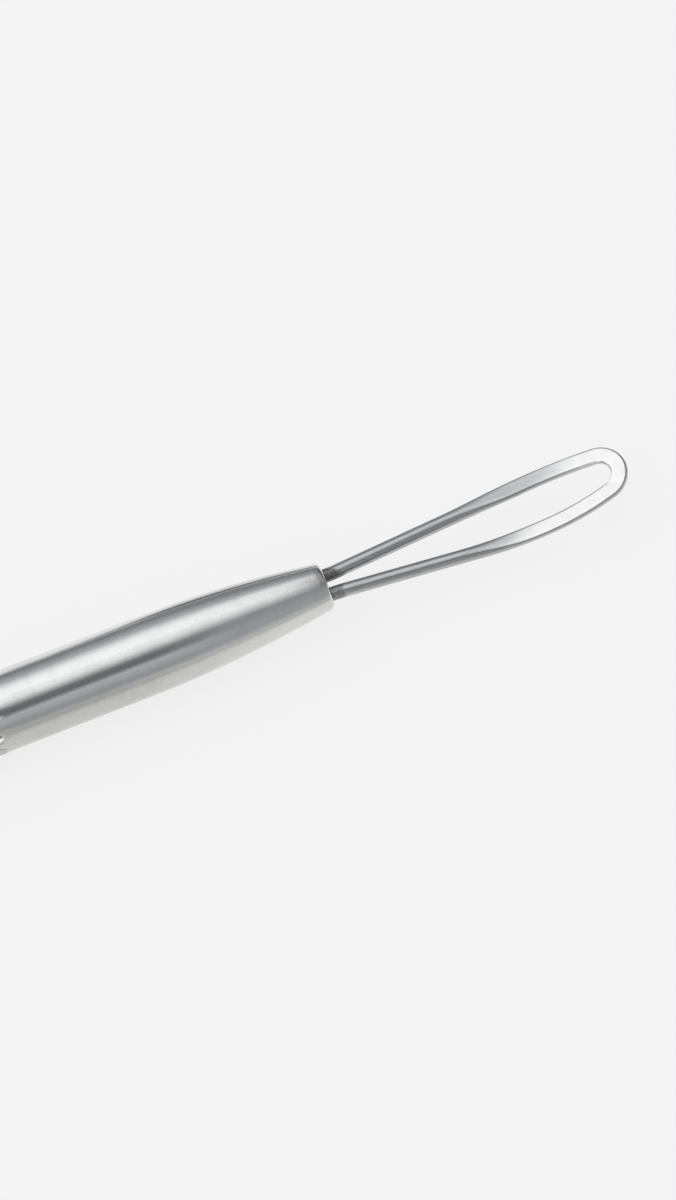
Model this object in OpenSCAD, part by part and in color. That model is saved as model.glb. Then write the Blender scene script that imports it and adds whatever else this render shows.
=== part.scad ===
// Double-ended blackhead extractor: a turned steel handle with a knurled grip,
// and a pressed wire loop brazed into the bore at each end.
// X runs along the tool, towards the large loop. Z is up, and the grip rests on Z = 0.

/* [Handle] */
// Length of the turned handle, nose face to nose face
handle_len = 80; // [70:1:100]
// Diameter of the handle's round bar
handle_d = 6.35; // [5.8:0.05:8]
// Length of the tapered nose at each end
nose_len = 16; // [12:0.5:18]
// Wall left round the bore at the mouth of each nose
lip_wall = 0.37; // [0.25:0.01:0.6]
// Radius of the rounded lip, kept inside the wall it is cut on
lip_round = 0.36; // [0.1:0.01:0.4]

/* [Grip] */
// Length of the knurled band in the middle of the handle
grip_len = 23.8; // [16:0.2:28]
// Number of diamonds round the handle
knurl_starts = 12; // [8:1:16]
// Number of diamonds along the band
knurl_rows = 8; // [5:1:10]
// Width of each knurl groove at the surface
groove_w = 0.3; // [0.15:0.01:0.5]
// Depth of each knurl groove
groove_depth = 0.13; // [0.05:0.01:0.3]
// Rise of each diamond's crest above the plain bar, which keeps the tool from rolling
knurl_rise = 0.08; // [0.05:0.01:0.15]

/* [Wire and bores] */
// Diameter of the loop wire where it is still round
wire_d = 1.12; // [0.9:0.01:1.3]
// Clear gap between the two legs of a loop in the bore
leg_gap = 0.63; // [0.5:0.01:1.1]
// Gap for braze between the legs and the wall of the bore
bore_clear = 0.1; // [0.06:0.01:0.2]
// How far the legs reach into the handle
leg_depth = 7; // [4:0.5:10]
// Depth of each bore beyond the end of the legs
bore_spare = 0.6; // [0.3:0.1:2]
// Included angle of the drill point at the bottom of each bore
drill_angle = 118; // [90:1:140]

/* [Braze] */
// How far the braze stops below the mouth of the bore
braze_recess = 0.12; // [0.05:0.01:0.5]
// Depth of the hollow in the face of the braze
braze_dish = 0.16; // [0.05:0.01:0.3]
// Clearance between the braze and the steel it wets
braze_fit = 0.01; // [0.005:0.005:0.03]

/* [Large loop] */
// Length of the large loop, nose face to tip
large_len = 25.7; // [22:0.1:30]
// Overall width of the large loop at its widest
large_w = 5.75; // [5:0.01:6.2]
// Distance from the nose face to the widest place
large_belly_at = 18.4; // [15:0.1:19]
// Outer radius of the round tip
large_tip_r = 2.42; // [2:0.01:2.6]
// Radius of the long outward curve of each leg
large_leg_curve = 68; // [40:1:90]
// Width of the pressed part of the wire
large_flat_w = 1.38; // [1.15:0.01:1.6]
// Thickness of the pressed part of the wire
large_flat_t = 0.56; // [0.3:0.01:0.7]
// Distance from the nose face to where the pressing begins
large_press_from = 10.7; // [6:0.1:12]
// Distance from the nose face to where the wire is fully pressed
large_press_to = 17.1; // [13:0.1:19]
// Angle by which the legs droop before the loop curls up
large_droop = 1.8; // [0:0.1:3]
// Distance from the nose face to where the loop starts to curl up
large_curl_from = 11; // [8:0.5:16]
// Radius of the upward curl
large_curl_r = 52; // [40:1:90]

/* [Small loop] */
// Length of the small loop, nose face to tip
small_len = 21.9; // [18:0.1:24]
// Overall width of the small loop at its widest
small_w = 4.2; // [3.9:0.05:5]
// Distance from the nose face to the widest place
small_belly_at = 15.4; // [13:0.1:16.5]
// Outer radius of the round tip
small_tip_r = 1.7; // [1.5:0.05:1.85]
// Radius of the long outward curve of each leg
small_leg_curve = 160; // [100:5:190]
// Width of the pressed part of the wire
small_flat_w = 1.28; // [1.15:0.01:1.5]
// Thickness of the pressed part of the wire
small_flat_t = 0.54; // [0.3:0.01:0.7]
// Distance from the nose face to where the pressing begins
small_press_from = 8.5; // [6:0.5:10]
// Distance from the nose face to where the wire is fully pressed
small_press_to = 14.5; // [11.5:0.5:16]
// Angle by which the legs droop before the loop curls up
small_droop = 1.4; // [0:0.1:3]
// Distance from the nose face to where the loop starts to curl up
small_curl_from = 9.5; // [7:0.5:14]
// Radius of the upward curl
small_curl_r = 52; // [40:1:90]

/* [Hidden] */
$fn = 96;

// Handle
handle_r = handle_d / 2;
leg_y = leg_gap / 2 + wire_d / 2;
bore_r = leg_y + wire_d / 2 + bore_clear;
bore_depth = leg_depth + bore_spare;
nose_end_r = bore_r + lip_wall;
nose_drop = handle_r - nose_end_r;
nose_arc_r = (nose_len * nose_len + nose_drop * nose_drop) / (2 * nose_drop);
lip_r = min(lip_round, 0.9 * lip_wall);
body_half = handle_len / 2;
grip_half = grip_len / 2;

// The middle of the whole tool is at X = 0, so the handle sits a little to one side of it,
// and its axis is as high as the two rows of crests that it rests on
handle_x = (small_len - large_len) / 2;
crest_turn = 90 / knurl_starts;
axis_z = (handle_r + knurl_rise) * cos(crest_turn);

// Knurl: where each diamond has mesh lines, which are its groove, land edge, crest and land edge
knurl_circle = 360 / knurl_starts;
knurl_pitch = grip_len / knurl_rows;
knurl_helix = atan(PI * handle_d / knurl_starts / knurl_pitch);
groove_part = groove_w / 2 / (PI * handle_d / knurl_starts * cos(knurl_helix));
knurl_lines = [0, groove_part, 0.5, 1 - groove_part];
knurl_per = len(knurl_lines);
knurl_round = knurl_starts * knurl_per;
knurl_along = knurl_rows * knurl_per;
land_drop = 0.01;
grip_margin = 0.1;
grip_overlap = 0.2;

// Wire
wire_r = wire_d / 2;
mouth_bend_r = 15;
corner_share = 0.85;
corner_points = 4;
bend_steps = 3;
leg_steps = 12;
belly_steps = 7;
tip_steps = 12;

// ---- Handle ----

// Half of the turned outline, from the edge of the grip to one nose face.
// Here X is the radius and Y the distance along the handle.
module turned_outline() {
    nose_y = body_half - nose_len;
    arc_x = handle_r - nose_arc_r;
    lip_y = body_half - lip_r;
    lip_x = arc_x + sqrt(pow(nose_arc_r - lip_r, 2) - pow(lip_y - nose_y, 2));
    to_lip = [lip_x - arc_x, lip_y - nose_y] / norm([lip_x - arc_x, lip_y - nose_y]);
    reach = 3 * lip_r;
    difference() {
        union() {
            translate([0, grip_half + grip_margin])
                square([handle_r, nose_y - grip_half - grip_margin]);
            intersection() {
                translate([0, nose_y]) square([handle_r, nose_len]);
                translate([arc_x, nose_y]) circle(r = nose_arc_r, $fn = 720);
            }
        }
        // The rounded lip is tangent to the nose and to the face
        difference() {
            polygon([
                [lip_x, lip_y],
                [lip_x, lip_y] + reach * to_lip,
                [lip_x + reach, lip_y + reach],
                [lip_x, lip_y + reach]
            ]);
            translate([lip_x, lip_y]) circle(r = lip_r);
        }
        bore_outline(0);
    }
}

// The bore with its drill point, or the same outline drawn in by a fit to fill it
module bore_outline(fit) {
    point_len = bore_r / tan(drill_angle / 2);
    polygon([
        [0, body_half - bore_depth - point_len + fit],
        [bore_r - fit, body_half - bore_depth + fit],
        [bore_r - fit, body_half + 1],
        [0, body_half + 1]
    ]);
}

// Place, in diamonds, of mesh line k of either helix
function knurl_at(k) = floor(k / knurl_per) + knurl_lines[k - knurl_per * floor(k / knurl_per)];
function in_groove(k) = k == knurl_per * floor(k / knurl_per);
function on_crest(k) = in_groove(k - 2);

// Point where line p of one helix crosses line p - d of the other
function knurl_point(p, d) = let (
        a = knurl_at(p),
        b = knurl_at(p - d),
        inside = abs(d) < knurl_along,
        cut = inside && (in_groove(p) || in_groove(p - d)),
        crest = inside && on_crest(p) && on_crest(p - d),
        r = crest ? handle_r + knurl_rise : handle_r - land_drop - (cut ? groove_depth : 0),
        turn = knurl_circle * (a + b) / 2
    ) [r * cos(turn), r * sin(turn), knurl_pitch * (a - b) / 2];

// A plain edge point of the band, beyond the grooves on one side of it
function knurl_edge(p, side) = let (q = knurl_point(p, side * knurl_along))
    [q[0], q[1], side * (grip_half + grip_overlap)];

// The grooved band: two families of helical mesh lines cross, and the points on a groove sink
module knurled_band() {
    edge = (2 * knurl_along + 1) * knurl_round;
    centre = edge + 2 * knurl_round;
    ring = [0 : knurl_round - 1];
    top = knurl_along;
    function at(p, d) = (d + knurl_along) * knurl_round + (p + knurl_round) % knurl_round;
    function edge_at(p, side) = edge + side * knurl_round + p % knurl_round;
    // A cell is split along the crease where two grooves meet, and elsewhere along the handle
    function cell(p, d) = let (
            start = at(p, d), end = at(p + 1, d), up = at(p + 1, d + 1), down = at(p, d - 1)
        ) d % knurl_per == 0 && (in_groove(p) || in_groove(p + 1))
            ? [[start, up, end], [start, end, down]]
            : [[start, up, down], [end, down, up]];
    points = concat(
        [for (d = [-knurl_along : knurl_along]) for (p = ring) knurl_point(p, d)],
        [for (side = [-1, 1]) for (p = ring) knurl_edge(p, side)],
        [for (side = [-1, 1]) [0, 0, side * (grip_half + grip_overlap)]]
    );
    faces = concat(
        [for (d = [1 - top : top - 1]) for (p = ring) each cell(p, d)],
        [for (p = ring) each [
            [at(p, top), at(p + 1, top), at(p, top - 1)],
            [at(p, -top), at(p + 1, 1 - top), at(p + 1, -top)],
            [at(p, top), edge_at(p, 1), edge_at(p + 1, 1), at(p + 1, top)],
            [at(p + 1, -top), edge_at(p + 1, 0), edge_at(p, 0), at(p, -top)],
            [edge_at(p, 1), centre + 1, edge_at(p + 1, 1)],
            [edge_at(p + 1, 0), centre, edge_at(p, 0)]
        ]]
    );
    polyhedron(points = points, faces = faces, convexity = 6);
}

module handle() {
    color("silver") translate([handle_x, 0, axis_z]) rotate([0, 90, 0]) {
        rotate_extrude() turned_outline();
        mirror([0, 0, 1]) rotate_extrude() turned_outline();
        rotate([0, 0, crest_turn]) knurled_band();
    }
}

// ---- Wire loops ----

function smooth(t) = let (s = max(0, min(1, t))) s * s * (3 - 2 * s);

// Section of the wire, as points across and up: round where press is 0, a rounded ribbon where it is 1
function wire_section(press, flat_w, flat_t) = let (corner = corner_share * flat_t / 2)
    [for (quarter = [0 : 3]) for (k = [0 : corner_points - 1]) let (
            round_a = 90 * (quarter + (k + 0.5) / corner_points),
            flat_a = 90 * (quarter + k / (corner_points - 1)),
            side_x = quarter == 0 || quarter == 3 ? 1 : -1,
            side_z = quarter < 2 ? 1 : -1,
            flat_x = side_x * (flat_w / 2 - corner) + corner * cos(flat_a),
            flat_z = side_z * (flat_t / 2 - corner) + corner * sin(flat_a)
        ) [
            (1 - press) * wire_r * cos(round_a) + press * flat_x,
            (1 - press) * wire_r * sin(round_a) + press * flat_z
        ]];

// Centre line of one leg seen from above, from the end in the bore to the tip, as [x, y, heading]
function leg_path(tip_x, w, belly_at, tip_r, leg_curve, flat_w) = let (
        belly_y = (w - flat_w) / 2,
        tip_mid_r = min(tip_r, w / 2 - 0.05) - flat_w / 2,
        tip_mid_x = tip_x - tip_mid_r - flat_w / 2,
        rise = belly_y - leg_y,
        // Two arcs, one at the mouth and one out to the widest place, with a straight leg between them
        arcs = min(leg_curve + mouth_bend_r, 0.45 * (belly_at * belly_at + rise * rise) / rise),
        spread = atan2(belly_at, arcs - rise) - acos(arcs / norm([belly_at, arcs - rise])),
        curve_r = arcs - mouth_bend_r,
        // An arc from the widest place that runs into the round tip
        tip_dx = tip_mid_x - belly_at,
        belly_r = (tip_dx * tip_dx + belly_y * belly_y - tip_mid_r * tip_mid_r)
            / (2 * (belly_y - tip_mid_r)),
        turn_in = asin(tip_dx / (belly_r - tip_mid_r))
    ) concat(
        [[-leg_depth, leg_y, 0], [0, leg_y, 0]],
        [for (k = [1 : bend_steps]) let (a = spread * k / bend_steps)
            [mouth_bend_r * sin(a), leg_y + mouth_bend_r * (1 - cos(a)), a]],
        [for (k = [0 : leg_steps]) let (a = spread * (1 - k / leg_steps))
            [belly_at - curve_r * sin(a), belly_y - curve_r * (1 - cos(a)), a]],
        [for (k = [1 : belly_steps]) let (a = turn_in * k / belly_steps)
            [belly_at + belly_r * sin(a), belly_y - belly_r * (1 - cos(a)), -a]],
        [for (k = [1 : tip_steps]) let (a = turn_in + (90 - turn_in) * k / tip_steps)
            [tip_mid_x + tip_mid_r * sin(a), tip_mid_r * cos(a), -a]]
    );

// Rolls a point upwards round the curl, then lowers it by the droop
function curled(x, y, z, droop, curl_from, curl_r) = let (
        a = max(0, x - curl_from) / curl_r * 180 / PI,
        out = x > curl_from ? curl_from + (curl_r - z) * sin(a) : x,
        up = curl_r - (curl_r - z) * cos(a)
    ) [out, y, up - max(0, out) * tan(droop)];

// A wire loop with its nose face at X = 0 and its tip at X = length
module wire_loop(length, w, belly_at, tip_r, leg_curve, flat_w, flat_t,
        press_from, press_to, droop, curl_from, curl_r) {
    corner = corner_share * flat_t / 2;
    // Length before curling, so that the curled tip ends just at the wanted length
    tip_x = curl_from + corner + asin((length - corner - curl_from)
        / (curl_r + flat_t / 2 - corner)) * PI / 180 * curl_r;
    leg = leg_path(tip_x, w, belly_at, tip_r, leg_curve, flat_w);
    last = len(leg) - 1;
    path = concat(leg, [for (k = [last - 1 : -1 : 0]) [leg[k][0], -leg[k][1], 180 - leg[k][2]]]);
    sides = 4 * corner_points;
    rings = len(path);
    points = [for (p = path)
        each [for (q = wire_section(smooth((p[0] - press_from) / (press_to - press_from)), flat_w, flat_t))
            curled(p[0] - q[0] * sin(p[2]), p[1] + q[0] * cos(p[2]), q[1], droop, curl_from, curl_r)]];
    faces = concat(
        [[for (k = [0 : sides - 1]) k]],
        [for (n = [0 : rings - 2]) for (k = [0 : sides - 1])
            let (near = n * sides, far = near + sides, next = (k + 1) % sides)
                [near + k, far + k, far + next, near + next]],
        [[for (k = [sides - 1 : -1 : 0]) (rings - 1) * sides + k]]
    );
    polyhedron(points = points, faces = faces, convexity = 6);
}

module large_loop() {
    color("gainsboro") translate([handle_x + body_half, 0, axis_z])
        wire_loop(large_len, large_w, large_belly_at, large_tip_r, large_leg_curve,
            large_flat_w, large_flat_t, large_press_from, large_press_to,
            large_droop, large_curl_from, large_curl_r);
}

module small_loop() {
    color("gainsboro") translate([handle_x - body_half, 0, axis_z]) rotate([0, 0, 180])
        wire_loop(small_len, small_w, small_belly_at, small_tip_r, small_leg_curve,
            small_flat_w, small_flat_t, small_press_from, small_press_to,
            small_droop, small_curl_from, small_curl_r);
}

// ---- Braze ----

// Filler that fills the bore round both legs, with a hollow face just below the mouth
module braze_fill() {
    face_r = bore_r - braze_fit;
    dish_r = (face_r * face_r + braze_dish * braze_dish) / (2 * braze_dish);
    face_z = body_half - braze_recess;
    difference() {
        rotate_extrude() intersection() {
            bore_outline(braze_fit);
            square([bore_r, face_z]);
        }
        translate([0, 0, face_z - braze_dish + dish_r]) sphere(r = dish_r);
        for (side = [-1, 1])
            translate([0, side * leg_y, body_half - leg_depth - braze_fit])
                cylinder(r = wire_r + braze_fit, h = leg_depth + 1);
    }
}

module large_loop_braze() {
    color("goldenrod") translate([handle_x, 0, axis_z]) rotate([0, 90, 0]) braze_fill();
}

module small_loop_braze() {
    color("goldenrod") translate([handle_x, 0, axis_z]) rotate([0, -90, 0]) braze_fill();
}

handle();
large_loop();
small_loop();
large_loop_braze();
small_loop_braze();
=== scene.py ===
"""Looks of the double-ended blackhead extractor.

A satin steel handle with a knurled grip, a pressed wire loop in each end, and the braze
round the legs of each loop. Shapes are worked out in millimetres and stored in metres.
"""

from math import acos, asin, atan2, cos, floor, hypot, pi, radians, sin, sqrt, tan

import bpy
from mathutils import Matrix, Vector


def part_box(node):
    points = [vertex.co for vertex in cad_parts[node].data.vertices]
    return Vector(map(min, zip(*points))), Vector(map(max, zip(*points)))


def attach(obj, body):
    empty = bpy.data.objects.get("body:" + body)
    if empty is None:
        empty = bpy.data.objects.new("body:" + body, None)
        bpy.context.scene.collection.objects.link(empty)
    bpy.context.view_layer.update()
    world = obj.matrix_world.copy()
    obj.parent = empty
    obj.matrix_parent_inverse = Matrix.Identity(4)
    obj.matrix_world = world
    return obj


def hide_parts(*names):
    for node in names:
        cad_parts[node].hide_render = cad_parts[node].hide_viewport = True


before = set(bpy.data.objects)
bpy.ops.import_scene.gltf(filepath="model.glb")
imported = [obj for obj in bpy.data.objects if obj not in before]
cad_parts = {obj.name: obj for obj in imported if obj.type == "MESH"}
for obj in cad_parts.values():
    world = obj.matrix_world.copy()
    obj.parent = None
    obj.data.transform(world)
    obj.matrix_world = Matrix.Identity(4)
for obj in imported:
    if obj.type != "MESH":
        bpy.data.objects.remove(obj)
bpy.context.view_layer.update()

MM = 0.001


# Sizes of the handle, in millimetres
handle_low, handle_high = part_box("handle")
HANDLE_MID = (handle_low.x + handle_high.x) / 2 / MM
HALF_LEN = (handle_high.x - handle_low.x) / 2 / MM
AXIS_Z = (handle_low.z + handle_high.z) / 2 / MM
HANDLE_R = 6.35 / 2
NOSE_LEN = 16.0
LIP_WALL = 0.37  # steel round the mouth of the bore
LIP_ROUND = 0.36

GRIP_LEN = 23.8
KNURL_STARTS = 12  # diamonds round the bar
KNURL_ROWS = 8  # diamonds along it
KNURL_RISE = 0.08  # how far the crests stand over the bar
LAND_DROP = 0.01  # how far under the bar the diamonds start
GROOVE_W = 0.3
GROOVE_DEPTH = 0.13

WIRE_R = 1.12 / 2
LEG_GAP = 0.63  # between the two legs in the bore
LEG_Y = LEG_GAP / 2 + WIRE_R
BORE_PLAY = 0.1  # between a leg and the bore
BORE_R = LEG_Y + WIRE_R + BORE_PLAY
LEG_DEPTH = 7.0
BORE_SPARE = 0.6  # beyond the ends of the legs
BORE_DEPTH = LEG_DEPTH + BORE_SPARE
DRILL_ANGLE = 118
DRILL_POINT = BORE_R / tan(radians(DRILL_ANGLE / 2))
DRILL_TIP = 0.02  # size of the last ring round the point, as a share of the bore
DRILL_DIP = 0.01  # how much deeper the point itself lies
BORE_EDGE = 0.05  # softened edge of the bore's mouth
BORE_EDGE_MID = 0.3 * BORE_EDGE

BRAZE_RECESS = 0.12
BRAZE_DISH = 0.16
BRAZE_FIT = 0.01
BRAZE_CLIMB = 0.22  # how high it climbs up the legs
BRAZE_CLIMB_REACH = 0.28  # how far from a leg the climb starts
BRAZE_RIPPLE = 0.012
RIPPLE_RATE = (5, 7)  # across and up, in radians a millimetre
RIPPLE_SHIFT = 2
BRAZE_TOP = 0.04  # highest point over its rim


# Sizes of the loops, in millimetres from each nose face
LARGE_LOOP = dict(
    length=25.7, width=5.75, belly_at=18.4, tip_r=2.42, leg_curve=68.0, flat_w=1.38, flat_t=0.56,
    press_from=10.7, press_to=17.1, droop=1.8, curl_from=11.0, curl_r=52.0,
)
SMALL_LOOP = dict(
    length=21.9, width=4.2, belly_at=15.4, tip_r=1.7, leg_curve=160.0, flat_w=1.28, flat_t=0.54,
    press_from=8.5, press_to=14.5, droop=1.4, curl_from=9.5, curl_r=52.0,
)
MOUTH_BEND_R = 15.0
RIBBON_CORNER = 0.85  # radius of its edges, as a share of half its thickness


# Photograph: its size and the nose's place in pixels, and the tool's directions in it
PHOTO_W, PHOTO_H = 676, 1200
PX_PER_MM = 12.68
NOSE_PX = (326.1, 585.8)
SLOPE_IN_VIEW = radians(21.2)
LEAN_OF_VIEW = radians(29.3)
AXIS_RECEDES = radians(6.5)
CAMERA_DISTANCE = 0.5  # metres
NEAREST_SEEN = 0.01  # metres
SENSOR = 36  # millimetres

# Steps of the meshes
BARREL_STEPS = 10
NOSE_STEPS = 30
LIP_STEPS = 10
MOUTH_STEPS = 6
LEG_STEPS = 20
CURVE_STEPS = 48
BELLY_STEPS = 24
TIP_STEPS = 30
SIDE_STEPS = 3
EDGE_STEPS = 9
FLAT_STEPS = 5
BRAZE_ROUND = 96
BRAZE_RINGS = 25
# Depths of the rings inside a bore, in millimetres
BORE_DEPTHS = (0.5, 2, BORE_DEPTH)
LEG_DEPTHS = (LEG_DEPTH, 4, 2, 1, 0.5, 0)
BRAZE_DEPTHS = (LEG_DEPTH, 3, 1)


# Mesh making

def smooth(t):
    """A share from 0 to 1 with its ends eased, like the smooth step of the shaders."""
    t = max(0.0, min(1.0, t))
    return t * t * (3 - 2 * t)


def make_piece(name, points, faces, material, replaces, sharp_at):
    """A smooth-shaded piece from points in millimetres. Edges that turn by more than sharp_at stay sharp."""
    mesh = bpy.data.meshes.new(name)
    mesh.from_pydata([Vector(p) * MM for p in points], [], faces)
    mesh.validate()
    mesh.shade_smooth()
    mesh.set_sharp_from_angle(angle=radians(sharp_at))
    mesh.materials.append(material)
    piece = bpy.data.objects.new(name, mesh)
    bpy.context.scene.collection.objects.link(piece)
    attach(piece, "root")
    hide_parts(replaces)
    return piece


def loft(rings):
    """Points and faces of a tube through rings of equal size, closed with a fan at each end."""
    size = len(rings[0])
    points = [p for ring in rings for p in ring]
    faces = [
        (n * size + k, n * size + (k + 1) % size, (n + 1) * size + (k + 1) % size, (n + 1) * size + k)
        for n in range(len(rings) - 1)
        for k in range(size)
    ]
    for ring, base, turn in ((rings[0], 0, -1), (rings[-1], (len(rings) - 1) * size, 1)):
        centre = len(points)
        points.append(tuple(sum(p[i] for p in ring) / size for i in range(3)))
        for k in range(size):
            pair = (base + k, base + (k + 1) % size)[::turn]
            faces.append((*pair, centre))
    return points, faces


# Handle

KNURL_CIRCLE = 2 * pi / KNURL_STARTS
KNURL_PITCH = GRIP_LEN / KNURL_ROWS
KNURL_HELIX = atan2(KNURL_CIRCLE * HANDLE_R, KNURL_PITCH)
# Half a groove's width, and the mesh lines between two grooves, in diamonds
GROOVE_PART = GROOVE_W / 2 / (KNURL_CIRCLE * HANDLE_R * cos(KNURL_HELIX))
KNURL_LINES = [
    0, GROOVE_PART / 3, GROOVE_PART * 0.8, GROOVE_PART * 1.25, 0.33,
    0.5, 0.67, 1 - GROOVE_PART * 1.25, 1 - GROOVE_PART * 0.8, 1 - GROOVE_PART / 3,
]
KNURL_PER = len(KNURL_LINES)
KNURL_ROUND = KNURL_STARTS * KNURL_PER
KNURL_ALONG = KNURL_ROWS * KNURL_PER
CREST_TURN = KNURL_CIRCLE / 4
RUN_OUT = 0.12
GROOVE_STEEPNESS = 1.08
CREST_STEEPNESS = 1.12


def knurl_at(k):
    """Place, in diamonds, of mesh line k of either helix."""
    return floor(k / KNURL_PER) + KNURL_LINES[k % KNURL_PER]


def knurl_height(a, b):
    """Height of the knurl over the plain bar where helix lines a and b cross."""
    out = max(abs(a - floor(a) - 0.5), abs(b - floor(b) - 0.5))
    land = 0.5 - GROOVE_PART
    if out > land:
        height = -LAND_DROP - GROOVE_DEPTH * min(1, (out - land) / GROOVE_PART * GROOVE_STEEPNESS)
    else:
        height = -LAND_DROP + (KNURL_RISE + LAND_DROP) * min(1, CREST_STEEPNESS * (1 - out / land))
    return height * smooth((KNURL_ROWS - abs(a - b)) / RUN_OUT)


def bar_point(along, r, turn):
    """A point of the handle: distance along it from its middle, radius, and turn from straight down."""
    turn += CREST_TURN
    return (HANDLE_MID + along, r * sin(turn), AXIS_Z - r * cos(turn))


def edge_turns(side):
    """Turns at which the mesh lines meet one edge of the knurl."""
    return [KNURL_CIRCLE * (knurl_at(p) - side * KNURL_ROWS / 2) for p in range(KNURL_ROUND)]


def knurl_mesh():
    """The knurled band: crossing helical mesh lines, with their cells split along each crease."""
    points = []
    for d in range(-KNURL_ALONG, KNURL_ALONG + 1):
        for p in range(KNURL_ROUND):
            a, b = knurl_at(p), knurl_at(p - d)
            points.append(bar_point(KNURL_PITCH * (a - b) / 2, HANDLE_R + knurl_height(a, b),
                                    KNURL_CIRCLE * (a + b) / 2))

    def at(p, d):
        return (d + KNURL_ALONG) * KNURL_ROUND + p % KNURL_ROUND

    faces = []
    for d in range(1 - KNURL_ALONG, KNURL_ALONG):
        for p in range(KNURL_ROUND):
            start, end, up, down = at(p, d), at(p + 1, d), at(p + 1, d + 1), at(p, d - 1)
            if d % KNURL_PER == 0:
                faces += [(start, end, up), (start, down, end)]
            elif (2 * p - d + 1) % KNURL_PER == 0:
                faces += [(start, down, up), (end, up, down)]
            else:
                faces.append((start, down, end, up))
    for p in range(KNURL_ROUND):
        faces.append((at(p, KNURL_ALONG), at(p, KNURL_ALONG - 1), at(p + 1, KNURL_ALONG)))
        faces.append((at(p, -KNURL_ALONG), at(p + 1, -KNURL_ALONG), at(p + 1, 1 - KNURL_ALONG)))
    return points, faces


def nose_profile():
    """Outline of one half of the handle, from the edge of the grip round the lip and into the bore."""
    end_r = BORE_R + LIP_WALL
    drop = HANDLE_R - end_r
    arc_r = (NOSE_LEN ** 2 + drop ** 2) / (2 * drop)
    arc_start = HALF_LEN - NOSE_LEN
    lip_along = HALF_LEN - LIP_ROUND
    lip_r = HANDLE_R - arc_r + sqrt((arc_r - LIP_ROUND) ** 2 - (lip_along - arc_start) ** 2)
    lean = atan2(lip_along - arc_start, lip_r - (HANDLE_R - arc_r))
    barrel = [(GRIP_LEN / 2 + (arc_start - GRIP_LEN / 2) * k / BARREL_STEPS, HANDLE_R)
              for k in range(BARREL_STEPS + 1)]
    nose = [(arc_start + arc_r * sin(a), HANDLE_R - arc_r * (1 - cos(a)))
            for a in (lean * k / NOSE_STEPS for k in range(1, NOSE_STEPS + 1))]
    lip = [(lip_along + LIP_ROUND * sin(a), lip_r + LIP_ROUND * cos(a))
           for a in (lean + (pi / 2 - lean) * k / LIP_STEPS for k in range(1, LIP_STEPS + 1))]
    mouth = [(HALF_LEN, (lip_r + BORE_R + BORE_EDGE) / 2), (HALF_LEN, BORE_R + BORE_EDGE),
             (HALF_LEN - BORE_EDGE_MID, BORE_R + BORE_EDGE_MID), (HALF_LEN - BORE_EDGE, BORE_R)]
    bore = [(HALF_LEN - deep, BORE_R) for deep in BORE_DEPTHS]
    bottom = (HALF_LEN - BORE_DEPTH - DRILL_POINT * (1 - DRILL_TIP), BORE_R * DRILL_TIP)
    return barrel + nose + lip + mouth + bore + [bottom]


def make_handle(material):
    """The handle: the knurled band, then each half turned on from the band's edge down into the bore."""
    points, faces = knurl_mesh()
    profile = nose_profile()
    for side in (1, -1):
        turns = edge_turns(side)
        # The first ring is the edge of the knurl, which is there already
        ring = (2 * KNURL_ALONG if side > 0 else 0) * KNURL_ROUND
        for along, r in profile[1:]:
            base = len(points)
            points += [bar_point(side * along, r, t) for t in turns]
            for k in range(KNURL_ROUND):
                n = (k + 1) % KNURL_ROUND
                faces.append((ring + k, ring + n, base + n, base + k)[::side])
            ring = base
        centre = len(points)
        points.append((HANDLE_MID + side * (profile[-1][0] - DRILL_DIP), 0, AXIS_Z))
        faces += [(ring + k, ring + (k + 1) % KNURL_ROUND, centre)[::side] for k in range(KNURL_ROUND)]
    return make_piece("turned_handle", points, faces, material, "handle", sharp_at=28)


# Wire loops

def leg_path(tip_x, width, belly_at, tip_r, leg_curve, flat_w):
    """Centre line of one leg seen from above, from its end in the bore to the tip, as (x, y, heading).

    It leaves the bore straight, bends outwards at the mouth, runs straight, curves back to run parallel
    at the belly, closes in over a wide arc, and ends in half of the round tip.
    """
    belly_y = (width - flat_w) / 2
    tip_mid_r = tip_r - flat_w / 2
    tip_mid_x = tip_x - tip_r
    rise = belly_y - LEG_Y
    arcs = leg_curve + MOUTH_BEND_R
    spread = atan2(belly_at, arcs - rise) - acos(arcs / hypot(belly_at, arcs - rise))
    tip_dx = tip_mid_x - belly_at
    belly_r = (tip_dx ** 2 + belly_y ** 2 - tip_mid_r ** 2) / (2 * (belly_y - tip_mid_r))
    turn_in = asin(tip_dx / (belly_r - tip_mid_r))

    path = [(-deep, LEG_Y, 0) for deep in LEG_DEPTHS]
    path += [(MOUTH_BEND_R * sin(a), LEG_Y + MOUTH_BEND_R * (1 - cos(a)), a)
             for a in (spread * k / MOUTH_STEPS for k in range(1, MOUTH_STEPS + 1))]
    curve = [(belly_at - leg_curve * sin(a), belly_y - leg_curve * (1 - cos(a)), a)
             for a in (spread * (1 - k / CURVE_STEPS) for k in range(CURVE_STEPS + 1))]
    # The straight leg between the two arcs
    (x0, y0, _), (x1, y1, _) = path[-1], curve[0]
    path += [(x0 + (x1 - x0) * k / LEG_STEPS, y0 + (y1 - y0) * k / LEG_STEPS, spread)
             for k in range(1, LEG_STEPS)]
    path += curve
    path += [(belly_at + belly_r * sin(a), belly_y - belly_r * (1 - cos(a)), -a)
             for a in (turn_in * k / BELLY_STEPS for k in range(1, BELLY_STEPS + 1))]
    path += [(tip_mid_x + tip_mid_r * sin(a), tip_mid_r * cos(a), -a)
             for a in (turn_in + (pi / 2 - turn_in) * k / TIP_STEPS for k in range(1, TIP_STEPS + 1))]
    return path


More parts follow.
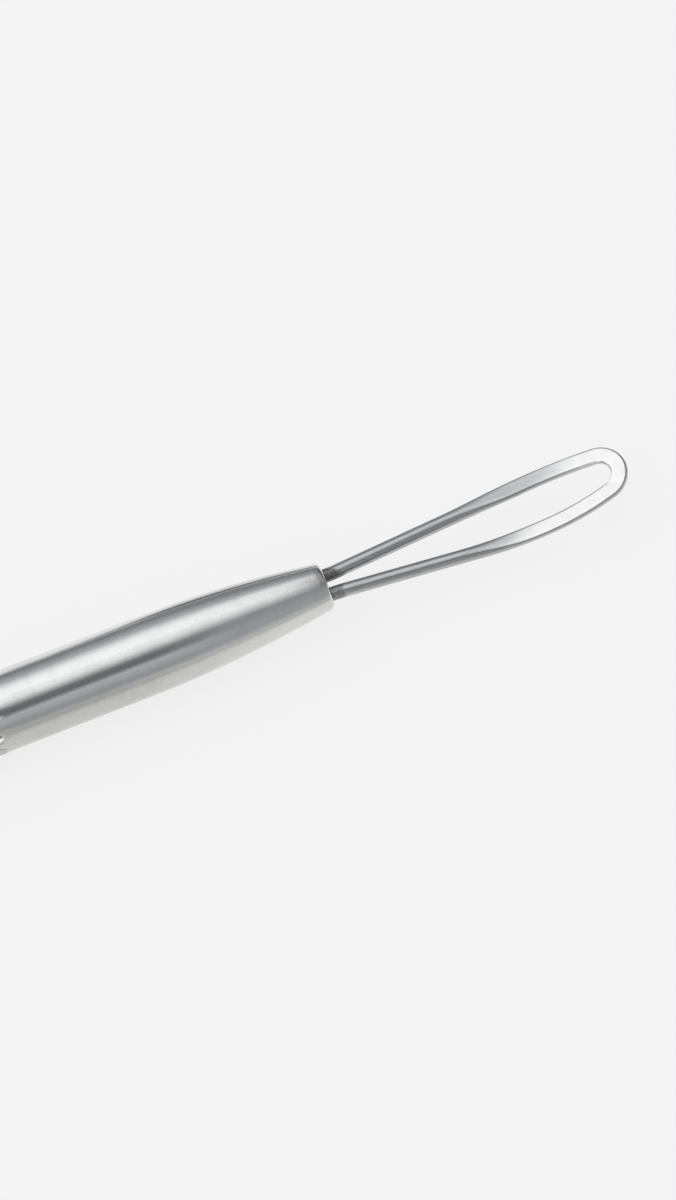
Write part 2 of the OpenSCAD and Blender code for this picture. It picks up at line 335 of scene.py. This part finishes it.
def ribbon_quarter(flat_w, flat_t):
    """A quarter of the pressed section, from the middle of its side over the edge to that of its top."""
    w, t = flat_w / 2, flat_t / 2
    e = RIBBON_CORNER * t
    side = [(w, (t - e) * k / SIDE_STEPS) for k in range(SIDE_STEPS)]
    edge = [(w - e + e * cos(a), t - e + e * sin(a))
            for a in (pi / 2 * k / EDGE_STEPS for k in range(EDGE_STEPS + 1))]
    top = [((w - e) * (1 - k / FLAT_STEPS), t) for k in range(1, FLAT_STEPS)]
    return side + edge + top


def wire_section(press, flat_w, flat_t):
    """Section of the wire, as points across and up: round where press is 0, a flat ribbon where it is 1."""
    quarter = ribbon_quarter(flat_w, flat_t)
    # The same quarter the other way round, from the middle of its top
    back = [(0, flat_t / 2)] + quarter[:0:-1]
    steps = len(quarter)
    points = []
    for corner, (sx, sz) in enumerate(((1, 1), (-1, 1), (-1, -1), (1, -1))):
        for k, (x, z) in enumerate(back if corner % 2 else quarter):
            a = pi / 2 * (corner + k / steps)
            points.append(((1 - press) * WIRE_R * cos(a) + press * sx * x,
                           (1 - press) * WIRE_R * sin(a) + press * sz * z))
    return points


def curled(x, y, z, droop, curl_from, curl_r):
    """Rolls a point upwards round the curl, then lowers it by the droop."""
    a = max(0.0, x - curl_from) / curl_r
    out = curl_from + (curl_r - z) * sin(a) if x > curl_from else x
    return out, y, curl_r - (curl_r - z) * cos(a) - max(0.0, out) * tan(radians(droop))


def make_loop(name, node, side, material, length, width, belly_at, tip_r, leg_curve, flat_w, flat_t,
              press_from, press_to, droop, curl_from, curl_r):
    """One pressed wire loop: side is 1 at the large end of the tool and -1 at the small end."""
    edge = RIBBON_CORNER * flat_t / 2
    tip_x = curl_from + edge + asin((length - edge - curl_from) / (curl_r + flat_t / 2 - edge)) * curl_r
    leg = leg_path(tip_x, width, belly_at, tip_r, leg_curve, flat_w)
    path = leg + [(x, -y, pi - heading) for x, y, heading in leg[-2::-1]]
    rings = []
    for x, y, heading in path:
        section = wire_section(smooth((x - press_from) / (press_to - press_from)), flat_w, flat_t)
        ring = [curled(x - q * sin(heading), y + q * cos(heading), z, droop, curl_from, curl_r)
                for q, z in section]
        rings.append([(HANDLE_MID + side * (HALF_LEN + along), side * across, AXIS_Z + up)
                      for along, across, up in ring])
    points, faces = loft(rings)
    return make_piece(name, points, faces, material, node, sharp_at=60)


# Braze

def braze_height(r, turn):
    """Height of the braze face over its rim: a hollow that climbs a little up both legs."""
    x, y = r * cos(turn), r * sin(turn)
    hollow = -BRAZE_DISH * (1 - (r / BORE_R) ** 2)
    gap = min(hypot(x - LEG_Y, y), hypot(x + LEG_Y, y)) - WIRE_R
    climb = BRAZE_CLIMB * max(0.0, 1 - max(gap, 0.0) / BRAZE_CLIMB_REACH) ** 2
    ripple = BRAZE_RIPPLE * sin(RIPPLE_RATE[0] * x + RIPPLE_SHIFT) * cos(RIPPLE_RATE[1] * y)
    return min(hollow + climb + ripple, BRAZE_TOP)


def make_braze(name, node, side, material):
    """The braze of one bore, a plug with a hollow, uneven face. Side is as for the loops."""
    face_r = BORE_R - BRAZE_FIT
    circle = [2 * pi * k / BRAZE_ROUND for k in range(BRAZE_ROUND)]
    rings = [[(HALF_LEN - deep, face_r, t) for t in circle] for deep in BRAZE_DEPTHS]
    for k in range(BRAZE_RINGS):
        r = face_r * (1 - k / BRAZE_RINGS)
        rings.append([(HALF_LEN - BRAZE_RECESS + braze_height(r, t), r, t) for t in circle])
    rings = [[(HANDLE_MID + side * along, side * r * cos(t), AXIS_Z + r * sin(t)) for along, r, t in ring]
             for ring in rings]
    points, faces = loft(rings)
    return make_piece(name, points, faces, material, node, sharp_at=50)


# Shader tools

def add(tree, kind, inputs=None, **settings):
    """Adds a shader node, sets it up, and fills its inputs with values or links."""
    made = tree.nodes.new(kind)
    for key, value in settings.items():
        setattr(made, key, value)
    for key, value in (inputs or {}).items():
        if isinstance(value, bpy.types.NodeSocket):
            tree.links.new(value, made.inputs[key])
        else:
            made.inputs[key].default_value = value
    return made


def calc(tree, operation, *values, clamp=False):
    """The result of one step of arithmetic."""
    inputs = dict(enumerate(values))
    return add(tree, "ShaderNodeMath", inputs, operation=operation, use_clamp=clamp).outputs[0]


def noise(tree, position, scale, detail, roughness=0.5):
    """Cloudy noise about 0.5. The larger the scale, the finer it is."""
    return add(tree, "ShaderNodeTexNoise", {"Vector": position, "Scale": scale, "Detail": detail,
                                            "Roughness": roughness}).outputs["Fac"]


def split(tree, vector):
    """The X, Y and Z of a vector."""
    return add(tree, "ShaderNodeSeparateXYZ", {0: vector}).outputs


def stretch(tree, value, low, high, to_low=0.0, to_high=1.0):
    """The value mapped from one range to another, smoothly and without leaving it."""
    return add(tree, "ShaderNodeMapRange", {"Value": value, "From Min": low, "From Max": high,
                                            "To Min": to_low, "To Max": to_high},
               interpolation_type="SMOOTHSTEP").outputs["Result"]


def centred(tree, value, width):
    """A noise value turned into a number that swings about 0 by half of width."""
    return calc(tree, "MULTIPLY", calc(tree, "SUBTRACT", value, 0.5), width)


def new_group(name, inputs, outputs):
    """A shader node group with named sockets, given as name: (kind, default)."""
    group = bpy.data.node_groups.new(name, "ShaderNodeTree")
    for label, (kind, default) in inputs.items():
        socket = group.interface.new_socket(label, in_out="INPUT", socket_type="NodeSocket" + kind)
        if default is not None:
            socket.default_value = default
    for label, kind in outputs.items():
        group.interface.new_socket(label, in_out="OUTPUT", socket_type="NodeSocket" + kind)
    return group, group.nodes.new("NodeGroupInput").outputs, group.nodes.new("NodeGroupOutput").inputs


def satin_grain_group():
    """Fine scratches of a satin finish, drawn out along the direction that the grain scale leaves low."""
    group, given, out = new_group(
        "Satin grain",
        {"Position": ("Vector", None), "Grain scale": ("Vector", (1.0, 1.0, 1.0)),
         "Cloud size": ("Float", 1.0)},
        {"Scratches": "Float", "Clouds": "Float"},
    )
    drawn = add(group, "ShaderNodeVectorMath", {0: given["Position"], 1: given["Grain scale"]},
                operation="MULTIPLY").outputs[0]
    scratches = noise(group, drawn, scale=1.0, detail=3.0, roughness=0.62)
    clouds = noise(group, given["Position"], given["Cloud size"], detail=3.0, roughness=0.55)
    group.links.new(scratches, out["Scratches"])
    group.links.new(clouds, out["Clouds"])
    return group


# Where the darkening is gone and where it is full, in shares of its reach, and which noise makes a speck
DARKENING_FADE = (1.0, 0.62)
SPECK_RANGE = (0.5, 0.62)


def root_darkening_group():
    """A dark, speckled patch near the mouth of either bore, with a ragged edge."""
    group, given, out = new_group(
        "Root darkening",
        {"Position": ("Vector", None), "Middle": ("Float", 0.0), "Half length": ("Float", 1.0),
         "Reach": ("Float", 1.0), "Raggedness": ("Float", 0.5)},
        {"Darkening": "Float", "Specks": "Float"},
    )
    x = split(group, given["Position"])["X"]
    beyond = calc(group, "SUBTRACT", calc(group, "ABSOLUTE", calc(group, "SUBTRACT", x, given["Middle"])),
                  given["Half length"])
    rags = noise(group, given["Position"], scale=1.6, detail=4.0, roughness=0.6)
    shifted = calc(group, "ADD", beyond, centred(group, rags, given["Raggedness"]))
    darkening = stretch(group, calc(group, "DIVIDE", shifted, given["Reach"]), *DARKENING_FADE)
    specks = stretch(group, noise(group, given["Position"], scale=9.0, detail=2.0), *SPECK_RANGE)
    group.links.new(darkening, out["Darkening"])
    group.links.new(calc(group, "MULTIPLY", darkening, specks), out["Specks"])
    return group


SATIN_GRAIN = satin_grain_group()
ROOT_DARKENING = root_darkening_group()


def new_metal(name):
    """An empty material with a metal shader. Also gives the position on the object, in millimetres."""
    material = bpy.data.materials.new(name)
    material.use_nodes = True
    tree = material.node_tree
    shader = tree.nodes["Principled BSDF"]
    shader.inputs["Metallic"].default_value = 1.0
    place = add(tree, "ShaderNodeTexCoord").outputs["Object"]
    position = add(tree, "ShaderNodeVectorMath", {0: place, "Scale": 1 / MM}, operation="SCALE").outputs[0]
    return material, tree, shader, position


def tone(tree, base, share, other):
    """Base colour turned towards another colour by a share. Colours are red, green and blue, or links."""
    colours = {"Factor": share}
    for label, colour in (("A", base), ("B", other)):
        colours[label] = (*colour, 1) if isinstance(colour, tuple) else colour
    return add(tree, "ShaderNodeMix", colours, data_type="RGBA").outputs["Result"]


def scratch(tree, shader, height, strength, depth):
    """Bumps the shader's surface by a height map. The depth is in millimetres."""
    bump = add(tree, "ShaderNodeBump", {"Strength": strength, "Distance": depth * MM, "Height": height})
    tree.links.new(bump.outputs["Normal"], shader.inputs["Normal"])


def satin(tree, position, grain_scale, cloud_size):
    """Scratches and clouds of the satin finish at this position."""
    return add(tree, "ShaderNodeGroup",
               {"Position": position, "Grain scale": grain_scale, "Cloud size": cloud_size},
               node_tree=SATIN_GRAIN).outputs


# Materials

# Grain scales are higher across the grain than along it. Ranges are where a noise starts and ends to count.
TURNED_GRAIN = (9.0, 0.7, 0.7)
TURNED_CLOUDS = 0.5
STEEL_LIGHT = (0.624, 0.626, 0.627)
STEEL_SPECKLE = (0.599, 0.601, 0.603)
STEEL_CLOUD = (0.575, 0.577, 0.579)
# Colour of the painted shade in the grooves of the knurl and in the mouths of the bores
STEEL_PAINTED_SHADE = (0.12, 0.12, 0.115)
SPECKLE_SCALE = 5.0
SPECKLE_RANGE = (0.38, 0.66)
STEEL_CLOUD_RANGE = (0.45, 0.7)
# How dark the painted shade in the grooves and the mouth of a bore is, and from which radius inwards
GROOVE_SHADE = 0.04
GROOVE_SHADE_R = HANDLE_R + 0.02
GRIP_MARGIN = 0.1
BORE_SHADE = 0.6
BORE_SHADE_R = BORE_R + 0.12
BORE_SHADE_LEN = 1
STEEL_ROUGHNESS = 0.14
LINES_ROUGH = 0.08
CLOUDS_ROUGH = 0.05


def turned_steel():
    """Satin steel of the handle: fine turning lines round it, and painted shade in the grooves of the knurl
    and in the mouth of each bore.
    """
    material, tree, shader, position = new_metal("turned_steel")
    finish = satin(tree, position, TURNED_GRAIN, TURNED_CLOUDS)
    lines, clouds = finish["Scratches"], finish["Clouds"]

    # How deep a point lies under the bar's surface, but only within the grip
    place = split(tree, position)
    high = calc(tree, "SUBTRACT", place["Z"], AXIS_Z)
    radius = calc(tree, "SQRT", calc(tree, "ADD", calc(tree, "MULTIPLY", place["Y"], place["Y"]),
                                     calc(tree, "MULTIPLY", high, high)))
    deep = stretch(tree, radius, GROOVE_SHADE_R, HANDLE_R - GROOVE_DEPTH)
    from_middle = calc(tree, "ABSOLUTE", calc(tree, "SUBTRACT", place["X"], HANDLE_MID))
    in_grip = calc(tree, "LESS_THAN", from_middle, GRIP_LEN / 2 + GRIP_MARGIN)
    groove = calc(tree, "MULTIPLY", deep, in_grip)
    bore = calc(tree, "MULTIPLY", stretch(tree, radius, BORE_SHADE_R, BORE_R),
                calc(tree, "GREATER_THAN", from_middle, HALF_LEN - BORE_SHADE_LEN))
    # Painted shade: the grooves of the knurl and the mouth of each bore are darkened by how deep they lie
    dark = calc(tree, "MAXIMUM", calc(tree, "MULTIPLY", groove, GROOVE_SHADE),
                calc(tree, "MULTIPLY", bore, BORE_SHADE))

    speckle = stretch(tree, noise(tree, position, SPECKLE_SCALE, detail=1.0), *SPECKLE_RANGE)
    steel = tone(tree, STEEL_LIGHT, speckle, STEEL_SPECKLE)
    worn = tone(tree, steel, stretch(tree, clouds, *STEEL_CLOUD_RANGE), STEEL_CLOUD)
    tree.links.new(tone(tree, worn, dark, STEEL_PAINTED_SHADE), shader.inputs["Base Color"])
    rough = calc(tree, "ADD", centred(tree, lines, LINES_ROUGH), centred(tree, clouds, CLOUDS_ROUGH))
    tree.links.new(calc(tree, "ADD", rough, STEEL_ROUGHNESS), shader.inputs["Roughness"])
    scratch(tree, shader, lines, strength=0.12, depth=0.02)
    return material


DRAWN_GRAIN = (0.55, 9.0, 9.0)
DRAWN_CLOUDS = 1.1
WIRE_DULL = ((0.44, 0.446, 0.456), (0.375, 0.38, 0.39))
# Tones of the painted highlight, laid on the flats and far edges by the way they face
WIRE_PAINTED_HIGHLIGHT = ((0.69, 0.69, 0.69), (0.63, 0.63, 0.635))
STREAK_RANGE = (0.4, 0.7)
WIRE_CLOUD_RANGE = (0.38, 0.75)
WIRE_ROUGHNESS = 0.29
STREAKS_ROUGH = 0.12
POLISH_GLOSS = 0.08
STREAK_HEIGHT = 0.25
CLOUD_HEIGHT = 0.35
# Where the dull wire turns polished and takes the painted highlight, in millimetres from the nose face,
# and how much later for each millimetre towards one leg
POLISH_AND_HIGHLIGHT_START = (15.2, 20.2)
POLISH_AND_HIGHLIGHT_SLANT = 1.2
POLISH_AND_HIGHLIGHT_RAGGED = 3.0
EDGE_POLISH_AND_HIGHLIGHT = (17.0, 21.0)
# How squarely the flats face up or down and the far edges face away from the viewer, and the share of
# the polish and painted highlight that the other sides of the wire get
FLAT_FACING = (0.6, 0.93)
EDGE_FACING = (-0.2, 0.4)
SIDE_POLISH_AND_HIGHLIGHT = 0.35
# How far the darkening reaches, and how much further for each millimetre inwards on the darker leg
DARKENING_REACH = 1.3
DARKENING_SLANT = 1.6
DARKENING_LEAST = 0.3
DARKENING_RAGGED = 0.9
# How strong it is on the lighter leg, and how much stronger on the darker one
DARKENING_BASE = 0.35
DARKENING_MORE = 0.27
DARKENING_ROUGH = 0.18
DARKENING_COLOUR = (0.12, 0.115, 0.105)
SPECK_COLOUR = (0.05, 0.05, 0.045)
SPECK_SHARE = 0.6


def wire_polish_and_highlight(tree, clouds, beyond, leg_side):
    """Polish and painted highlight of the wire: most on its flats and, towards the tip, on its far edges."""
    # The polish and painted highlight start nearer to the bore on one leg than on the other
    slanted = calc(tree, "SUBTRACT", beyond, calc(tree, "MULTIPLY", leg_side, POLISH_AND_HIGHLIGHT_SLANT))
    ragged = calc(tree, "ADD", slanted, centred(tree, clouds, POLISH_AND_HIGHLIGHT_RAGGED))
    # Painted highlight by the way the surface faces: flats turned up or down, edges turned away from the
    # viewer
    facing = split(tree, add(tree, "ShaderNodeNewGeometry").outputs["Normal"])
    flat = stretch(tree, calc(tree, "ABSOLUTE", facing["Z"]), *FLAT_FACING)
    on_flats = calc(tree, "MULTIPLY", stretch(tree, ragged, *POLISH_AND_HIGHLIGHT_START),
                    calc(tree, "MULTIPLY_ADD", flat, 1 - SIDE_POLISH_AND_HIGHLIGHT, SIDE_POLISH_AND_HIGHLIGHT))
    on_edges = calc(tree, "MULTIPLY", stretch(tree, beyond, *EDGE_POLISH_AND_HIGHLIGHT),
                    stretch(tree, facing["Y"], *EDGE_FACING))
    return calc(tree, "MAXIMUM", on_flats, on_edges)


def drawn_wire():
    """Wire of the loops: dull drawn legs, a polished flat with a painted highlight towards the tip, and a
    dark, speckled patch at the bores.
    """
    material, tree, shader, position = new_metal("drawn_wire")
    finish = satin(tree, position, DRAWN_GRAIN, DRAWN_CLOUDS)
    streaks, clouds = finish["Scratches"], finish["Clouds"]
    place = split(tree, position)
    from_middle = calc(tree, "SUBTRACT", place["X"], HANDLE_MID)
    beyond = calc(tree, "SUBTRACT", calc(tree, "ABSOLUTE", from_middle), HALF_LEN)
    leg_side = calc(tree, "MULTIPLY", place["Y"], calc(tree, "SIGN", from_middle))
    polish_and_highlight = wire_polish_and_highlight(tree, clouds, beyond, leg_side)

    # The darkening is stronger on one leg, and runs further along the inner side of that leg
    darker = calc(tree, "GREATER_THAN", leg_side, 0)
    inward = calc(tree, "MULTIPLY", calc(tree, "SUBTRACT", LEG_Y, leg_side), darker)
    reach = calc(tree, "MAXIMUM", calc(tree, "MULTIPLY_ADD", inward, DARKENING_SLANT, DARKENING_REACH), DARKENING_LEAST)
    strength = calc(tree, "MULTIPLY_ADD", darker, DARKENING_MORE, DARKENING_BASE)
    root_dark = add(tree, "ShaderNodeGroup", {"Position": position, "Middle": HANDLE_MID, "Half length": HALF_LEN,
                                         "Reach": reach, "Raggedness": DARKENING_RAGGED},
               node_tree=ROOT_DARKENING).outputs

    drawn = tone(tree, WIRE_DULL[0], stretch(tree, streaks, *STREAK_RANGE), WIRE_DULL[1])
    # The bright tone is a painted highlight, mixed in by the polish and highlight mask
    highlight_tone = tone(tree, WIRE_PAINTED_HIGHLIGHT[0], stretch(tree, clouds, *WIRE_CLOUD_RANGE), WIRE_PAINTED_HIGHLIGHT[1])
    highlighted = tone(tree, drawn, polish_and_highlight, highlight_tone)
    darkened = tone(tree, highlighted, calc(tree, "MULTIPLY", root_dark["Darkening"], strength), DARKENING_COLOUR)
    spotted = tone(tree, darkened, calc(tree, "MULTIPLY", root_dark["Specks"], SPECK_SHARE), SPECK_COLOUR)
    tree.links.new(spotted, shader.inputs["Base Color"])
    rough = calc(tree, "MULTIPLY_ADD", root_dark["Darkening"], DARKENING_ROUGH, centred(tree, streaks, STREAKS_ROUGH))
    dull = calc(tree, "MULTIPLY_ADD", polish_and_highlight, -POLISH_GLOSS, WIRE_ROUGHNESS)
    tree.links.new(calc(tree, "ADD", rough, dull), shader.inputs["Roughness"])
    dents = calc(tree, "MULTIPLY", clouds, CLOUD_HEIGHT)
    height = calc(tree, "MULTIPLY_ADD", streaks, STREAK_HEIGHT, dents)
    scratch(tree, shader, height, strength=0.2, depth=0.06)
    return material


BRAZE_GRAIN = (5.0, 5.0, 5.0)
BRAZE_CLOUDS = 2.0
BRAZE_LIGHT = (0.42, 0.39, 0.33)
BRAZE_CLOUD = (0.30, 0.27, 0.22)
BRAZE_SCALE = (0.13, 0.12, 0.10)
BRAZE_CLOUD_RANGE = (0.4, 0.65)
SCALE_RANGE = (0.48, 0.72)
BRAZE_ROUGHNESS = 0.5
SCALE_ROUGH = 0.3


def dull_braze():
    """Braze round the legs, left as it cooled: dull, a little yellow, and speckled with scale."""
    material, tree, shader, position = new_metal("dull_braze")
    finish = satin(tree, position, BRAZE_GRAIN, BRAZE_CLOUDS)
    scale, clouds = finish["Scratches"], finish["Clouds"]
    base = tone(tree, BRAZE_LIGHT, stretch(tree, clouds, *BRAZE_CLOUD_RANGE), BRAZE_CLOUD)
    speckled = tone(tree, base, stretch(tree, scale, *SCALE_RANGE), BRAZE_SCALE)
    tree.links.new(speckled, shader.inputs["Base Color"])
    rough = calc(tree, "ADD", centred(tree, scale, SCALE_ROUGH), BRAZE_ROUGHNESS)
    tree.links.new(rough, shader.inputs["Roughness"])
    scratch(tree, shader, scale, strength=0.4, depth=0.05)
    return material


# Camera

def camera_axes():
    """Directions to the right, up and back out of the picture, as the photograph shows the tool."""
    back = Vector((-sin(AXIS_RECEDES), -cos(AXIS_RECEDES) * sin(LEAN_OF_VIEW),
                   cos(AXIS_RECEDES) * cos(LEAN_OF_VIEW)))
    along = (Vector((1, 0, 0)) - back.x * back).normalized()
    across = back.cross(along)
    right = cos(SLOPE_IN_VIEW) * along - sin(SLOPE_IN_VIEW) * across
    up = sin(SLOPE_IN_VIEW) * along + cos(SLOPE_IN_VIEW) * across
    return right, up, back, along, across


def make_camera():
    """A camera that sees the tool where the photograph has it."""
    right, up, back, _, _ = camera_axes()
    camera_data = bpy.data.cameras.new("camera")
    camera_data.sensor_width = SENSOR
    camera_data.lens = SENSOR * CAMERA_DISTANCE / (PHOTO_H / PX_PER_MM * MM)
    camera_data.clip_start = NEAREST_SEEN
    camera = bpy.data.objects.new("camera", camera_data)
    nose = Vector((HANDLE_MID + HALF_LEN, 0, AXIS_Z)) * MM
    aim = nose + ((PHOTO_W / 2 - NOSE_PX[0]) * right - (PHOTO_H / 2 - NOSE_PX[1]) * up) * MM / PX_PER_MM
    camera.location = aim + back * CAMERA_DISTANCE
    turn = Matrix((right, up, back)).transposed()
    camera.rotation_euler = turn.to_euler()
    bpy.context.scene.collection.objects.link(camera)
    bpy.context.scene.camera = camera


# Light and floor

# Brightness of the studio seen from the tool, by the turn about the tool's axis in degrees. The turn is 0
# behind the camera, below 0 on the upper side of the picture and above 0 on its lower side.
STUDIO = (
    (-180, 0.90), (-125, 1.05),                              # pale wall behind the tool
    (-111, 0.30), (-97, 0.35),                               # dark gap above it
    (-79, 0.65), (-58, 1.40), (-38, 1.50), (-20, 1.15),      # upper panel
    (0, 0.20), (13, 0.20),                                   # dark side of the camera
    (24, 0.65), (50, 0.42),                                  # lower card
    (100, 0.85), (180, 0.85),                                # floor
)
# The same further out towards the large end
STUDIO_FAR = (
    (-180, 1.00), (-144, 0.95),                              # pale wall
    (-120, 0.25), (-97, 0.35),                               # dark gap
    (-80, 0.65), (-66, 1.25), (-36, 1.35),                   # upper panel
    (-2, 0.40), (50, 0.50),                                  # dim side of the camera and lower card
    (90, 0.95), (180, 1.00),                                 # floor
)
# Ends are how far a direction points to the large end: 0 is square to the tool, 1 is along it
FAR_END = (0.20, 0.36)
STUDIO_PEAK = 1.6  # the level that the colour white stands for in a ramp
# The dark gap reaches further back towards the large end, by up to GAP_SLIP degrees
GAP_END = (0.03, 0.12)
GAP_TURN = -106
GAP_SLIP = 19
# The upper panel ends here, a little slanted, and loses this share of its light
PANEL_END = (0.485, 0.54)
PANEL_SLANT = -0.09
PANEL_FALL = 0.7
PANEL_SIDE = (0.1, -0.3)
# Towards the small end a pale screen of this level takes over, and fades again near the tool's axis
SCREEN_END = (-0.12, -0.36)
SCREEN_FADE = (-0.85, -0.6)
SCREEN_LEVEL = 1.5
# Tint of the dim parts, and where the tint starts and is full
COOL_DIM = (0.974, 1.0, 1.02)
DIM_FROM = 1.0
DIM_TO = 0.5
BACKDROP_WHITE = 0.875


def grey(level):
    """A colour without hue."""
    return (level, level, level, 1)


def studio_ramp(tree, levels, place):
    """Brightness of the studio by the turn about the tool, a little cooler where it is dim."""
    ramp = add(tree, "ShaderNodeValToRGB", {"Fac": place})
    stops = ramp.color_ramp.elements
    for angle, level in levels:
        # A ramp starts with a stop at either end
        stop = {-180: stops[0], 180: stops[-1]}.get(angle) or stops.new((angle + 180) / 360)
        dim = smooth((DIM_FROM - level) / (DIM_FROM - DIM_TO))
        stop.color = (*[level / STUDIO_PEAK * (1 + (c - 1) * dim) for c in COOL_DIM], 1)
    return ramp.outputs["Color"]


def make_world():
    """Soft studio light: a bright panel above, a dark gap behind it, a dark band behind the camera, and a
    pale screen beyond the small end."""
    world = bpy.data.worlds.new("studio")
    world.use_nodes = True
    tree = world.node_tree
    tree.nodes.clear()
    _, _, back, along, across = camera_axes()
    ray = add(tree, "ShaderNodeTexCoord").outputs["Generated"]

    def part(axis):
        return add(tree, "ShaderNodeVectorMath", {0: ray, 1: axis}, operation="DOT_PRODUCT").outputs["Value"]

    turn = calc(tree, "ARCTAN2", part(-across), part(back))
    end = part(along)
    degrees = calc(tree, "MULTIPLY", turn, 180 / pi)
    # Towards the large end the dark gap gets wider
    slip = calc(tree, "ADD", degrees, stretch(tree, end, *GAP_END, 0, GAP_SLIP))
    slipped = calc(tree, "MAXIMUM", degrees, calc(tree, "MINIMUM", slip, GAP_TURN))
    place = calc(tree, "DIVIDE", calc(tree, "ADD", slipped, 180), 360, clamp=True)
    colour = tone(tree, studio_ramp(tree, STUDIO, place), stretch(tree, end, *FAR_END),
                  studio_ramp(tree, STUDIO_FAR, place))
    # A pale screen stands beyond the small end
    screen = (SCREEN_LEVEL / STUDIO_PEAK,) * 3
    share = calc(tree, "MULTIPLY", stretch(tree, end, *SCREEN_END), stretch(tree, end, *SCREEN_FADE))
    colour = tone(tree, colour, share, screen)
    # The upper panel ends a little way out to the large end
    slanted = calc(tree, "MULTIPLY_ADD", turn, PANEL_SLANT, end)
    past = calc(tree, "MULTIPLY", stretch(tree, slanted, *PANEL_END), stretch(tree, turn, *PANEL_SIDE))
    strength = calc(tree, "MULTIPLY_ADD", past, -PANEL_FALL * STUDIO_PEAK, STUDIO_PEAK)
    light = add(tree, "ShaderNodeBackground", {"Color": colour, "Strength": strength})
    # The camera sees a backdrop as pale as the floor instead
    backdrop = add(tree, "ShaderNodeBackground", {"Color": grey(BACKDROP_WHITE), "Strength": 1.0})
    shown = add(tree, "ShaderNodeMixShader", {0: add(tree, "ShaderNodeLightPath").outputs["Is Camera Ray"],
                                              1: light.outputs[0], 2: backdrop.outputs[0]})
    tree.links.new(shown.outputs[0], add(tree, "ShaderNodeOutputWorld").inputs["Surface"])
    bpy.context.scene.world = world


FLOOR_REACH = 4.0  # metres from its middle to each edge
# The paper's own white, and the share of it that shines by itself: the rest catches the shadow
FLOOR_WHITE = 0.92
FLOOR_SHARE = 0.86
# As the metal sees it. Places are in metres: Y grows away from the viewer, X towards the large end.
FLOOR_IN_METAL = (0.56, 0.83)
FLOOR_FADE = (-0.024, -0.006)
FLOOR_END = (0.018, 0.038)
FLOOR_END_GAIN = 1.2
WARM_FRONT = (1.014, 1.018, 0.962)
FRONT_END = (-0.002, 0.002)
BACK_FROM = (0.000, 0.004)
BACK_GAIN = 1.35
DARK_FROM_X = (0.022, 0.034)
DARK_FROM_Y = (0.012, 0.042)
DARK_TO_X = (0.054, 0.062)
DARK_SHARE = 0.88


def floor_in_metal(tree):
    """How bright the floor looks from the metal, and its tint there."""
    place = split(tree, add(tree, "ShaderNodeTexCoord").outputs["Object"])
    faded = calc(tree, "MULTIPLY", stretch(tree, place["Y"], *FLOOR_FADE, *FLOOR_IN_METAL),
                 stretch(tree, place["X"], *FLOOR_END, 1, FLOOR_END_GAIN))
    # Behind the tool it is brighter, except towards the large end, where it darkens. That draws the dark
    # line along the upper edge of the nose.
    far = stretch(tree, place["X"], *DARK_FROM_X)
    gain = calc(tree, "MULTIPLY", calc(tree, "SUBTRACT", 1, far), BACK_GAIN - 1)
    back = calc(tree, "MULTIPLY_ADD", stretch(tree, place["Y"], *BACK_FROM), gain, 1)
    behind = calc(tree, "MULTIPLY", far, stretch(tree, place["Y"], *DARK_FROM_Y))
    dark = calc(tree, "MULTIPLY", behind, stretch(tree, place["X"], *DARK_TO_X, 1, 0))
    level = calc(tree, "MULTIPLY", calc(tree, "MULTIPLY", faded, back),
                 calc(tree, "MULTIPLY_ADD", dark, -DARK_SHARE, 1))
    return level, tone(tree, (1, 1, 1), stretch(tree, place["Y"], *FRONT_END, 1, 0), WARM_FRONT)


def make_floor():
    """Pale floor: it shows the camera its own colour and a faint shadow, and looks different in the metal."""
    material = bpy.data.materials.new("pale_floor")
    material.use_nodes = True
    tree = material.node_tree
    tree.nodes.clear()
    ray = add(tree, "ShaderNodeLightPath").outputs
    in_metal = calc(tree, "MAXIMUM", ray["Is Glossy Ray"], ray["Is Transmission Ray"])
    level, tint = floor_in_metal(tree)
    paper = add(tree, "ShaderNodeBsdfDiffuse", {"Color": grey(FLOOR_WHITE)})
    plain = add(tree, "ShaderNodeEmission", {"Color": grey(1), "Strength": FLOOR_WHITE})
    own = add(tree, "ShaderNodeMixShader", {0: calc(tree, "MULTIPLY", ray["Is Camera Ray"], FLOOR_SHARE),
                                            1: paper.outputs[0], 2: plain.outputs[0]})
    glow = add(tree, "ShaderNodeEmission", {"Color": tint, "Strength": level})
    mix = add(tree, "ShaderNodeMixShader", {0: in_metal, 1: own.outputs[0], 2: glow.outputs[0]})
    tree.links.new(mix.outputs[0], add(tree, "ShaderNodeOutputMaterial").inputs["Surface"])
    mesh = bpy.data.meshes.new("floor")
    corners = [(x * FLOOR_REACH, y * FLOOR_REACH, 0) for x, y in ((-1, -1), (1, -1), (1, 1), (-1, 1))]
    mesh.from_pydata(corners, [], [(0, 1, 2, 3)])
    mesh.materials.append(material)
    floor_sheet = bpy.data.objects.new("floor", mesh)
    bpy.context.scene.collection.objects.link(floor_sheet)


# Build

steel = turned_steel()
wire = drawn_wire()
braze = dull_braze()

make_handle(steel)
make_loop("large_pressed_loop", "large_loop", 1, wire, **LARGE_LOOP)
make_loop("small_pressed_loop", "small_loop", -1, wire, **SMALL_LOOP)
make_braze("large_braze_fill", "large_loop_braze", 1, braze)
make_braze("small_braze_fill", "small_loop_braze", -1, braze)

make_camera()
make_world()
make_floor()
bpy.context.scene.view_settings.view_transform = "Standard"
